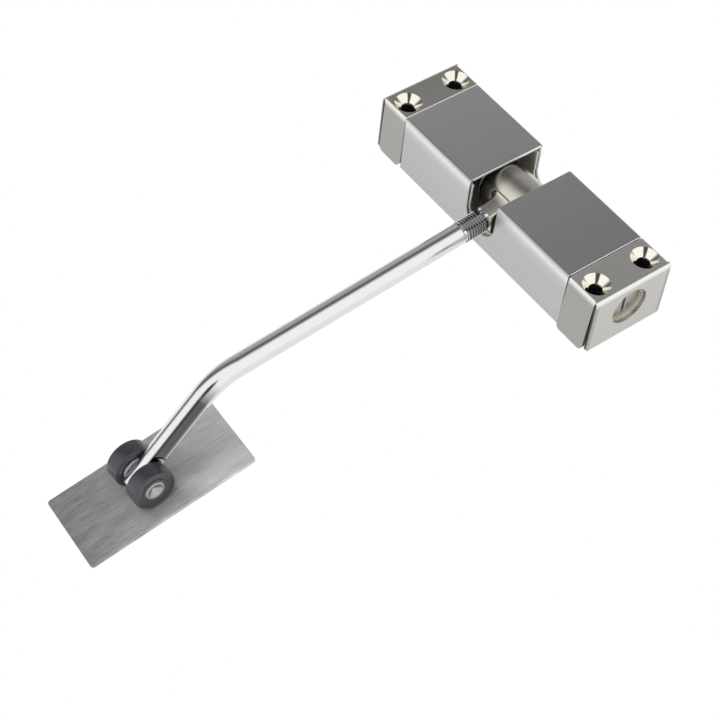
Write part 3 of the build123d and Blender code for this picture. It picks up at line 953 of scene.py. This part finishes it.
def wound_tree(name, sizes, radius, product, make_section, upright=False):
    """Geometry Nodes: a section wound along +Z, with inputs for its sizes."""
    tree = bpy.data.node_groups.new(name, "GeometryNodeTree")
    for size, value in sizes.items():
        kind = "NodeSocketInt" if size == "Steps" else "NodeSocketFloat"
        socket = tree.interface.new_socket(size, in_out="INPUT", socket_type=kind)
        socket.default_value = value
    tree.interface.new_socket("Material", in_out="INPUT", socket_type="NodeSocketMaterial")
    tree.interface.new_socket(product, in_out="OUTPUT", socket_type="NodeSocketGeometry")
    nodes, links = tree.nodes, tree.links
    given = nodes.new("NodeGroupInput")
    spiral = nodes.new("GeometryNodeCurveSpiral")
    for size, socket in (("Steps", "Resolution"), ("Turns", "Rotations"),
                         (radius, "Start Radius"), (radius, "End Radius"), ("Length", "Height")):
        links.new(given.outputs[size], spiral.inputs[socket])
    path = spiral.outputs["Curve"]
    if upright:
        normal = nodes.new("GeometryNodeSetCurveNormal")
        normal.mode = "Z_UP"
        links.new(path, normal.inputs["Curve"])
        path = normal.outputs["Curve"]
    sweep = nodes.new("GeometryNodeCurveToMesh")
    sweep.inputs["Fill Caps"].default_value = True
    links.new(path, sweep.inputs["Curve"])
    links.new(make_section(tree, given), sweep.inputs["Profile Curve"])
    real = nodes.new("GeometryNodeRealizeInstances")
    links.new(sweep.outputs["Mesh"], real.inputs["Geometry"])
    dress = nodes.new("GeometryNodeSetMaterial")
    links.new(real.outputs["Geometry"], dress.inputs["Geometry"])
    links.new(given.outputs["Material"], dress.inputs["Material"])
    result = nodes.new("NodeGroupOutput")
    links.new(dress.outputs["Geometry"], result.inputs[product])
    return tree


def ridge_section(tree, given):
    """The thread ridge's section: four points set by its height and width."""
    section = tree.nodes.new("GeometryNodeCurvePrimitiveQuadrilateral")
    section.mode = "POINTS"
    for index, (out, along) in enumerate(((-0.4, 0.5), (1.0, 0.1), (1.0, -0.1), (-0.4, -0.5))):
        corner = tree.nodes.new("ShaderNodeCombineXYZ")
        for axis, share, source in ((0, along, "Width"), (1, out, "Height")):
            product = tree.nodes.new("ShaderNodeMath")
            product.operation = "MULTIPLY"
            tree.links.new(given.outputs[source], product.inputs[0])
            product.inputs[1].default_value = share
            tree.links.new(product.outputs[0], corner.inputs[axis])
        tree.links.new(corner.outputs[0], section.inputs[f"Point {index + 1}"])
    return section.outputs["Curve"]


def wire_section(tree, given):
    """A round wire's section."""
    section = tree.nodes.new("GeometryNodeCurvePrimitiveCircle")
    section.inputs["Resolution"].default_value = 16
    tree.links.new(given.outputs["Wire Radius"], section.inputs["Radius"])
    return section.outputs["Curve"]


def thread_tree():
    """The thread's ridge."""
    sizes = {"Turns": 9.0, "Length": 0.009, "Radius": 0.0033, "Height": 0.0006, "Width": 0.0009,
             "Steps": 64}
    return wound_tree("wound_ridge", sizes, "Radius", "Ridge", ridge_section, upright=True)


def coil_tree():
    """A wire coil."""
    sizes = {"Turns": 8.0, "Length": 0.017, "Coil Radius": 0.0064, "Wire Radius": 0.0009,
             "Steps": 48}
    return wound_tree("wire_coil", sizes, "Coil Radius", "Coil", wire_section)


def grown(tree, values, place):
    """The plain mesh that a tree makes with these inputs, moved to its place."""
    host = linked(tree.name + "_host", bpy.data.meshes.new(tree.name + "_host"))
    modifier = host.modifiers.new("Maker", "NODES")
    modifier.node_group = tree
    for item in tree.interface.items_tree:
        if item.in_out == "INPUT" and item.name in values:
            modifier[item.identifier] = values[item.name]
    mesh = applied(host)
    mesh.transform(place)
    return mesh


def placed_along(origin, axis, start=Vector((0, 0, 1))):
    """A matrix that lays +Z along an axis from an origin, with +X near a start direction."""
    side = (start - axis * start.dot(axis)).normalized()
    other = axis.cross(side)
    place = Matrix((side, other, axis)).transposed().to_4x4()
    place.translation = origin
    return place


class HINGE_OT_thread(bpy.types.Operator):
    """Wind the thread's ridge round the arm"""
    bl_idname = "hinge.thread"
    bl_label = "Wind thread"

    def execute(self, context):
        sizes = context.scene.hinge_arm
        steel = thread_steel(sizes.colour, sizes.thread_core, sizes.thread_height)
        start = arm_origin + arm_direction * (sizes.thread_start + 0.45 * sizes.thread_pitch)
        turns = sizes.thread_turns - 0.9
        mesh = grown(thread_tree(), {
            "Turns": turns, "Length": turns * sizes.thread_pitch, "Radius": sizes.thread_core,
            "Height": sizes.thread_height, "Width": sizes.thread_pitch * 0.94, "Steps": 72,
            "Material": steel}, placed_along(start, arm_direction))
        make_piece("arm_thread", mesh, steel, "arm")
        return {"FINISHED"}


class HINGE_OT_rollers(bpy.types.Operator):
    """Turn both rollers, their washers and the pin"""
    bl_idname = "hinge.rollers"
    bl_label = "Make rollers"

    def execute(self, context):
        sizes = context.scene.hinge_rollers
        chrome = bpy.data.materials["drawn_chrome"]
        plastic = roller_plastic(sizes.colour)
        steel = brushed_metal("pin_steel", (0.45, 0.44, 0.44),
                              lambda finish: finish.object_place((900, 900, 900)), 0.22)
        inner, outer = self.reach("front_roller", 1)
        radius = self.node_radius("front_roller")
        inner += sizes.spread
        for side, name in ((1, "front"), (-1, "rear")):
            make_piece(name + "_wheel", self.roller(sizes, side, inner, outer, radius), plastic,
                       name + "_wheel", [name + "_roller"])
            make_piece(name + "_spacer", self.washer(sizes, side), steel, "arm",
                       [name + "_washer"])
        make_piece("pin", self.pin(sizes, outer), steel, "arm", ["roller_pin"])
        return {"FINISHED"}

    def reach(self, node, side):
        """How far a node's points reach from the pin's centre along the pin."""
        points = frame["nodes"][node].data.vertices
        along = [(vertex.co - pin_centre).dot(pin_axis) * side for vertex in points]
        return min(along), max(along)

    def node_radius(self, node):
        """The largest distance of a node's points from the pin's axis."""
        return max((vertex.co - pin_centre).cross(pin_axis).length
                   for vertex in frame["nodes"][node].data.vertices)

    def roller(self, sizes, side, inner, outer, radius):
        """One roller with its recess and the seat of the pin's head."""
        bore = sizes.pin_radius + 0.08 * MM
        seat = sizes.head_radius + 0.08 * MM
        boss = sizes.head_radius + sizes.rim
        lip = radius - sizes.rim
        floor = outer - sizes.recess
        corners = [(bore, inner), (radius, inner), (radius, outer), (lip, outer), (lip, floor),
                   (boss, floor), (boss, outer), (seat, outer), (seat, outer - 0.58 * MM),
                   (bore, outer - 0.58 * MM)]
        profile = rounded(corners, 0.15 * MM, 3, True)
        profile = self.softened_rim(profile, corners, sizes.edge)
        return lathe(profile, pin_centre, pin_axis * side, True, 128)

    def softened_rim(self, profile, corners, edge):
        """The same profile with a larger rounding at the two outer rims."""
        rim = [corners[1], corners[2]]
        kept = [point for point in profile
                if min((Vector(point) - Vector(corner)).length for corner in rim) > 0.3 * MM]
        first = rounded([corners[0], corners[1], corners[2]], edge, 5)[1:-1]
        second = rounded([corners[1], corners[2], corners[3]], edge, 5)[1:-1]
        place = next(index for index, point in enumerate(kept)
                     if (Vector(point) - Vector(corners[3])).length < 0.3 * MM)
        return kept[:place] + first + second + kept[place:]

    def washer(self, sizes, side):
        """A thin washer between a roller and the tongue."""
        name = "front_washer" if side > 0 else "rear_washer"
        low, high = (distance + sizes.spread for distance in self.reach(name, side))
        bore = sizes.pin_radius + 0.03 * MM
        rim = self.node_radius(name)
        profile = rounded([(bore, low), (rim, low), (rim, high), (bore, high)], 0.12 * MM, 3,
                          True)
        return lathe(profile, pin_centre, pin_axis * side, True)

    def pin(self, sizes, outer):
        """The pin with a dimpled head spread at each end."""
        half = [(0, outer - sizes.dimple_depth), (0.25 * MM, outer - sizes.dimple_depth),
                (sizes.dimple_radius, outer), (sizes.head_radius, outer),
                (sizes.head_radius, outer - 0.5 * MM), (sizes.pin_radius, outer - 0.5 * MM)]
        upper = rounded(half, 0.14 * MM, 3)
        lower = [(radius, -height) for radius, height in reversed(upper)]
        return lathe(upper + lower, pin_centre, pin_axis)


class HINGE_OT_strike_plate(bpy.types.Operator):
    """Make the brushed strike plate and its adhesive pad"""
    bl_idname = "hinge.strike_plate"
    bl_label = "Make strike plate"

    def execute(self, context):
        sizes = context.scene.hinge_plate
        for name, node, material, edge, slot in (
                ("plate", "strike_plate", plate_steel(sizes.colour), sizes.edge, "plate_steel"),
                ("pad", "adhesive_pad", pad_foam(sizes.pad_colour), sizes.edge, "pad_foam")):
            centre, length, width, thickness = self.extent(node)
            build = slab(centre, plate_along, plate_across, plate_normal, length, width,
                         thickness, sizes.corner, edge)
            make_piece(name, build, material, "plate", [node])
        return {"FINISHED"}

    def extent(self, node):
        """The centre of a flat node's top, and its length, width and thickness."""
        points = [vertex.co for vertex in frame["nodes"][node].data.vertices]
        spans = []
        for axis in (plate_along, plate_across, plate_normal):
            values = [point.dot(axis) for point in points]
            spans.append((min(values), max(values)))
        middle = (plate_along * sum(spans[0]) / 2 + plate_across * sum(spans[1]) / 2
                  + plate_normal * spans[2][1])
        return middle, *(high - low for low, high in spans)


class HINGE_OT_adjuster(bpy.types.Operator):
    """Dress the slotted adjuster and its ratchet wheel, and give the pawl its finish"""
    bl_idname = "hinge.adjuster"
    bl_label = "Make adjuster"

    def execute(self, context):
        sizes = context.scene.hinge_housing
        head = brushed_metal("head_steel", (0.46, 0.46, 0.45),
                             lambda finish: finish.object_place((500, 2600, 500)), 0.3,
                             contrast=0.2)
        make_dressed("adjuster_head", "adjuster_spindle", head, sizes.sheet_edge, "spindle",
                     clamp=True)
        steel = bpy.data.materials["spring_steel"]
        make_dressed("ratchet", "ratchet_wheel", steel, sizes.sheet_edge / 2, "spindle",
                     clamp=True)
        paint("pawl_leaf", steel)
        return {"FINISHED"}


class HINGE_OT_springs(bpy.types.Operator):
    """Wind both torsion springs and the lock spring"""
    bl_idname = "hinge.springs"
    bl_label = "Wind springs"

    def execute(self, context):
        sizes = context.scene.hinge_springs
        steel = spring_steel(sizes.colour)
        tree = coil_tree()
        for side, turns in (("left", sizes.left_turns), ("right", sizes.right_turns)):
            node = side + "_torsion_spring"
            self.torsion_spring(node, turns, sizes, steel, tree)
        low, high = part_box("lock_spring")
        wire = sizes.lock_wire
        radius = (high.z - low.z) / 2 - wire
        start = Vector((low.x + wire, 0, hub_centre.z))
        mesh = grown(tree, {"Turns": float(sizes.lock_turns), "Length": high.x - low.x - 2 * wire,
                            "Coil Radius": radius, "Wire Radius": wire, "Steps": 40,
                            "Material": steel}, placed_along(start, Vector((1, 0, 0))))
        coil = make_piece("lock_coil", mesh, steel, "plug", ["lock_spring"])
        room = high.x - low.x
        (room - push_travel) / room
        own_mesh(coil)
        return {"FINISHED"}

    def torsion_spring(self, node, turns, sizes, steel, tree):
        """One spring with an axial leg at each end, merged to one piece."""
        low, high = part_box(node)
        radius = high.z - hub_centre.z - sizes.wire
        first = low.x + sizes.end_room
        last = high.x - sizes.end_room
        start = Vector((first, 0, hub_centre.z))
        coil = grown(tree, {"Turns": float(turns), "Length": last - first,
                            "Coil Radius": radius, "Wire Radius": sizes.wire, "Steps": 48,
                            "Material": steel}, placed_along(start, Vector((1, 0, 0))))
        build = bmesh.new()
        build.from_mesh(coil)
        top = Vector((0, 0, hub_centre.z + radius))
        wire = sizes.wire
        for near, far in ((first, low.x), (last, high.x)):
            span = far - near
            sign = 1 if span > 0 else -1
            profile = [(0, -sign * wire * 0.99)]
            profile += [(wire * sin(pi / 2 * step / 6), -sign * wire * cos(pi / 2 * step / 6))
                        for step in range(1, 7)]
            profile += [(wire, span - sign * 0.2 * MM), (wire - 0.2 * MM, span), (0, span)]
            leg = lathe(profile, top + Vector((near, 0, 0)), Vector((1, 0, 0)), segments=16)
            build.from_mesh(plain_mesh("leg", leg))
        make_piece(node.replace("_torsion_spring", "_spring"), build, steel, "housing", [node])


class HINGE_OT_inner_parts(bpy.types.Operator):
    """Give the pieces inside the body their finishes"""
    bl_idname = "hinge.inner_parts"
    bl_label = "Finish inner parts"

    def execute(self, context):
        sizes = context.scene.hinge_housing
        zinc = cast_zinc(sizes.zinc_colour, sizes.hole_radius)
        for node in ("left_end_block", "right_end_block", "spring_plug"):
            paint(node, zinc)
        paint("left_shaft_bush", bush_bronze())
        paint("hub_shaft", bpy.data.materials["spring_steel"])
        return {"FINISHED"}


class HINGE_OT_stage(bpy.types.Operator):
    """Lay the floor and set up the dome, the lamps and the camera"""
    bl_idname = "hinge.stage"
    bl_label = "Set stage"

    def execute(self, context):
        sizes = context.scene.hinge_stage
        self.floor(sizes)
        self.dome(context)
        self.lamp(context, "key", sizes.key_power, 0.55, Vector((-0.45, -0.5, 0.85)))
        self.lamp(context, "fill", sizes.fill_power, 0.7, Vector((0.75, 0.35, 0.65)))
        self.camera(context, sizes)
        context.scene.view_settings.view_transform = "Standard"
        return {"FINISHED"}

    def floor(self, sizes):
        """A wide pale floor that the camera and reflections see as white paper."""
        level = cad_box[0].z - 0.2 * MM
        reach = 6.0
        build = bmesh.new()
        corners = [build.verts.new((x, y, level)) for x, y in
                   ((-reach, -reach), (reach, -reach), (reach, reach), (-reach, reach))]
        build.faces.new(corners)
        floor = linked("floor", plain_mesh("floor", build))
        paper = Finish("paper", Roughness=1.0)
        paper.shader.inputs["Specular IOR Level"].default_value = 0.0
        fibres = paper.noise(paper.object_place((1, 1, 1)), scale=60.0)
        paper.feed("Base Color", paper.blend(fibres, shade(sizes.paper, 0.99),
                                             shade(sizes.paper, 1.01)))
        glow = paper.tree.nodes.new("ShaderNodeEmission")
        glow.inputs["Strength"].default_value = 1.0
        mix = paper.tree.nodes.new("ShaderNodeMixShader")
        camera, glossy, through = (Wire(paper.tree, output) for output in ray_kinds(paper.tree))
        white = camera.larger(glossy.larger(through) * sizes.floor_gloss)
        paper.tree.links.new(white.socket, mix.inputs["Fac"])
        paper.tree.links.new(paper.shader.outputs["BSDF"], mix.inputs[1])
        paper.tree.links.new(glow.outputs["Emission"], mix.inputs[2])
        output = paper.tree.nodes["Material Output"]
        paper.tree.links.new(mix.outputs["Shader"], output.inputs["Surface"])
        floor.data.materials.append(paper.material)

    def dome(self, context):
        """The room that the metal reflects: white in front and on the right, darker overhead."""
        world = bpy.data.worlds.new("dome")
        context.scene.world = world
        world.use_nodes = True
        tree = world.node_tree
        place = tree.nodes.new("ShaderNodeTexCoord")
        x, y, z = split_parts(tree, place.outputs["Generated"])
        forward = x * 0.9 - y * 0.7
        level = ramp(tree, forward * 0.606 + 0.697, (
            (0.0, 0.36), (0.03, 0.36), (0.08, 0.45), (0.26, 0.31), (0.31, 0.15), (0.40, 0.095),
            (0.49, 0.20), (0.58, 0.54), (0.67, 0.99), (0.70, 1.02)))
        toward_viewer = x * 0.576 - y * 0.518 + z * 0.632
        shadow = ((toward_viewer - 0.955) * 33.0).limited()
        level = level * (1 - shadow * 0.93)
        white = tree.nodes.new("ShaderNodeMix")
        white.data_type = "RGBA"
        tree.links.new(ray_kinds(tree)[0], white.inputs[0])
        tree.links.new(level.socket, white.inputs[6])
        white.inputs[7].default_value = (1, 1, 1, 1)
        tree.links.new(white.outputs[2], tree.nodes["Background"].inputs["Color"])

    def lamp(self, context, name, power, size, place):
        """A square soft lamp that faces the object."""
        centre = (cad_box[0] + cad_box[1]) / 2
        data = bpy.data.lights.new(name, "AREA")
        data.energy = power
        data.size = size
        lamp = bpy.data.objects.new(name, data)
        lamp.location = centre + place
        lamp.rotation_mode = "QUATERNION"
        lamp.rotation_quaternion = (-place).to_track_quat("-Z", "Y")
        lamp.visible_glossy = False
        context.scene.collection.objects.link(lamp)

    def camera(self, context, sizes):
        """The camera where the photograph was taken from."""
        data = bpy.data.cameras.new("camera")
        data.lens = sizes.lens
        data.sensor_width = 36.0
        data.clip_start = 0.01
        data.clip_end = 100.0
        camera = bpy.data.objects.new("camera", data)
        right = Vector((0.5995, 0.7966, 0.0775)).normalized()
        back = Vector((0.466, -0.4261, 0.7754))
        back = (back - right * back.dot(right)).normalized()
        up = back.cross(right)
        place = Matrix((right, up, back)).transposed().to_4x4()
        place.translation = Vector((0.2910, -0.3251, 0.4560))
        camera.matrix_world = place
        context.scene.collection.objects.link(camera)
        context.scene.camera = camera


def ray_kinds(tree):
    """The sockets that are 1 for rays from the camera, from gloss and through glass."""
    paths = tree.nodes.new("ShaderNodeLightPath")
    return [paths.outputs[name] for name in ("Is Camera Ray", "Is Glossy Ray",
                                             "Is Transmission Ray")]


class HINGE_PT_maker(bpy.types.Panel):
    """The hinge's operators and sizes"""
    bl_idname = "HINGE_PT_maker"
    bl_label = "Self-closing hinge"
    bl_space_type = "VIEW_3D"
    bl_region_type = "UI"
    bl_category = "Hinge"

    def draw(self, context):
        for operator in OPERATORS:
            self.layout.operator(operator.bl_idname)
        for name, settings in SETTINGS.items():
            box = self.layout.box()
            for key in settings.__annotations__:
                box.prop(getattr(context.scene, name), key)


SETTINGS = {
    "hinge_stage": HingeStageSettings,
    "hinge_housing": HingeHousingSettings,
    "hinge_hub": HingeHubSettings,
    "hinge_arm": HingeArmSettings,
    "hinge_rollers": HingeRollerSettings,
    "hinge_plate": HingePlateSettings,
    "hinge_springs": HingeSpringSettings,
}
OPERATORS = (HINGE_OT_stage, HINGE_OT_housing, HINGE_OT_hub, HINGE_OT_arm, HINGE_OT_thread,
             HINGE_OT_rollers, HINGE_OT_strike_plate, HINGE_OT_springs, HINGE_OT_adjuster,
             HINGE_OT_inner_parts)


def register():
    """Registers the classes and hangs the settings on the scene."""
    for cls in (*SETTINGS.values(), *OPERATORS, HINGE_PT_maker):
        bpy.utils.register_class(cls)
    for name, settings in SETTINGS.items():
        setattr(bpy.types.Scene, name, PointerProperty(type=settings))


def unregister():
    """Takes the settings and classes away again."""
    for name in SETTINGS:
        delattr(bpy.types.Scene, name)
    for cls in (HINGE_PT_maker, *reversed(OPERATORS), *reversed(SETTINGS.values())):
        bpy.utils.unregister_class(cls)


def main():
    """Makes every piece in order."""
    register()
    bpy.ops.hinge.stage()
    bpy.ops.hinge.housing()
    bpy.ops.hinge.hub()
    bpy.ops.hinge.arm()
    bpy.ops.hinge.thread()
    bpy.ops.hinge.rollers()
    bpy.ops.hinge.strike_plate()
    bpy.ops.hinge.springs()
    bpy.ops.hinge.adjuster()
    bpy.ops.hinge.inner_parts()


if __name__ == "__main__":
    main()
